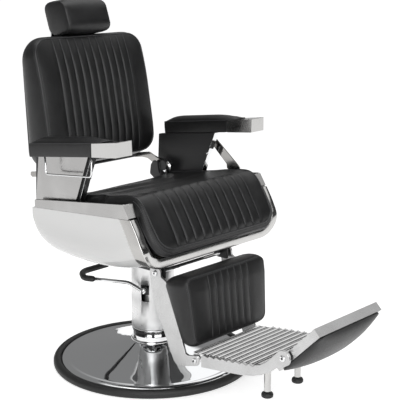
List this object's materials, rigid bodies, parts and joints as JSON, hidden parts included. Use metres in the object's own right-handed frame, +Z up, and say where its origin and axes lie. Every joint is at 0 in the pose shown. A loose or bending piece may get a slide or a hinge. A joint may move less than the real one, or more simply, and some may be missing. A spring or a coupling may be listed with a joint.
{
  "type": "hydraulic barber chair",
  "caption": "Barber chair that pumps up, swivels and reclines, with padded arms, headrest, legrest and a fold-over footrest, on a round chromed base.",
  "frame": {"origin": "on the floor, at the axis of the column", "axes": "+Z up along the column, -Y towards the front of the chair, -X towards the sitter's right"},
  "size_m": [0.706, 1.2383, 1.2452],
  "materials": {
    "upholstery": "black artificial leather, fine grain, satin",
    "chrome": "polished chrome",
    "brushed_steel": "brushed, lightly polished",
    "aluminium": "satin cast aluminium",
    "white_shell": "white, gloss",
    "rubber": "black, matt",
    "black_plastic": "black, satin",
    "black_steel": "black paint",
    "cast_iron": "dark, rough",
    "board": "plywood"
  },
  "bodies": {
    "base": {"base_plate": "cast_iron", "base_cover": "chrome", "base_ring": "rubber", "pump_cylinder": "brushed_steel", "base_collar": "chrome"},
    "lift": {"piston_rod": "chrome"},
    "seat": {"column_sleeve": "chrome", "guide_bush": "black_plastic", "pump_head": "cast_iron", "mounting_plate": "black_steel", "seat_frame": "black_steel", "seat_tub": "white_shell", "front_surround": "brushed_steel", "side_trim_right": "brushed_steel", "side_trim_left": "brushed_steel", "seat_board": "board", "seat_cushion": "upholstery", "arm_plate_right": "brushed_steel", "arm_plate_left": "brushed_steel", "arm_panel_right": "black_plastic", "arm_panel_left": "black_plastic", "arm_pad_right": "upholstery", "arm_pad_left": "upholstery", "arm_cap_right": "brushed_steel", "arm_cap_left": "brushed_steel", "towel_rail": "chrome", "back_pivot_right": "chrome", "back_pivot_left": "chrome", "recline_cylinder": "black_steel"},
    "pump_lever": {"pump_lever_rod": "chrome", "pump_lever_grip": "rubber"},
    "recline_lever": {"recline_lever": "chrome"},
    "recline_rod": {"recline_rod": "chrome"},
    "backrest": {"back_cushion": "upholstery", "back_panel": "black_plastic", "back_hinge_arm_right": "brushed_steel", "back_hinge_arm_left": "brushed_steel", "back_cross_tube": "black_steel", "headrest_guide_right": "black_steel", "headrest_guide_left": "black_steel"},
    "headrest_post": {"headrest_post": "chrome"},
    "headrest": {"headrest_cushion": "upholstery", "headrest_hinge": "chrome"},
    "legrest_carriage": {"legrest_slide_right": "black_steel", "legrest_slide_left": "black_steel", "legrest_shaft": "chrome"},
    "legrest": {"legrest_arm_right": "aluminium", "legrest_arm_left": "aluminium", "calf_pad": "upholstery", "legrest_cross_tube": "black_steel"},
    "footplate": {"footplate_tread": "aluminium", "footplate_rail_right": "aluminium", "footplate_rail_left": "aluminium", "footplate_pin": "brushed_steel"},
    "levelling_right": {"levelling_leg_right": "brushed_steel", "levelling_foot_right": "rubber"},
    "levelling_left": {"levelling_leg_left": "brushed_steel", "levelling_foot_left": "rubber"},
    "flap": {"flap_tray": "aluminium", "flap_pad": "upholstery"}
  },
  "joints": [
    {"name": "lift", "type": "slide", "parent": "base", "child": "lift", "axis": [0, 0, 1], "range_m": [0, 0.14]},
    {"name": "swivel", "type": "hinge", "parent": "lift", "child": "seat", "pos_m": [0, 0, 0.39], "axis": [0, 0, 1], "continuous": true},
    {"name": "pump_lever", "type": "hinge", "parent": "seat", "child": "pump_lever", "pos_m": [-0.04603, -0.01954, 0.278], "axis": [-0.9205, -0.3907, 0], "range_deg": [0, 15], "stiffness_Nm_per_rad": 20, "springref_deg": -8.59},
    {"name": "recline_release", "type": "hinge", "parent": "seat", "child": "recline_lever", "pos_m": [0.3225, 0.004, 0.742], "axis": [-1, 0, 0], "range_deg": [0, 25], "stiffness_Nm_per_rad": 2, "springref_deg": -11.46},
    {"name": "recline", "type": "hinge", "parent": "seat", "child": "backrest", "pos_m": [0, 0.175, 0.64], "axis": [-1, 0, 0], "range_deg": [0, 48]},
    {"name": "recline_rod", "type": "slide", "parent": "seat", "child": "recline_rod", "axis": [0, -1, 0], "range_m": [0, 0.071]},
    {"name": "legrest_slide", "type": "slide", "parent": "seat", "child": "legrest_carriage", "axis": [0, -1, 0], "range_m": [0, 0.091]},
    {"name": "legrest_swing", "type": "hinge", "parent": "legrest_carriage", "child": "legrest", "pos_m": [0, -0.187, 0.395], "axis": [-1, 0, 0], "range_deg": [0, 45.5]},
    {"name": "headrest_height", "type": "slide", "parent": "backrest", "child": "headrest_post", "axis": [0, 0.0558, 0.9984], "range_m": [0, 0.1]},
    {"name": "headrest_tilt", "type": "hinge", "parent": "headrest_post", "child": "headrest", "pos_m": [0, 0.3975, 1.15], "axis": [-1, 0, 0], "range_deg": [-8, 20]},
    {"name": "footplate_fold", "type": "hinge", "parent": "legrest", "child": "footplate", "pos_m": [0, -0.358, 0.142], "axis": [-1, 0, 0], "range_deg": [0, 28]},
    {"name": "levelling_right", "type": "slide", "parent": "footplate", "child": "levelling_right", "axis": [0, 0, -1], "range_m": [0, 0.012]},
    {"name": "levelling_left", "type": "slide", "parent": "footplate", "child": "levelling_left", "axis": [0, 0, -1], "range_m": [0, 0.012]},
    {"name": "flap_turn", "type": "hinge", "parent": "footplate", "child": "flap", "pos_m": [0, -0.705, 0.241], "axis": [-1, 0, 0], "range_deg": [0, 135]}
  ],
  "couplings": [
    {"joint": "recline_rod", "follows": "recline", "m_per_rad": 0.0835},
    {"joint": "legrest_slide", "follows": "recline", "m_per_rad": 0.1074},
    {"joint": "legrest_swing", "follows": "recline", "ratio": 0.9375}
  ]
}
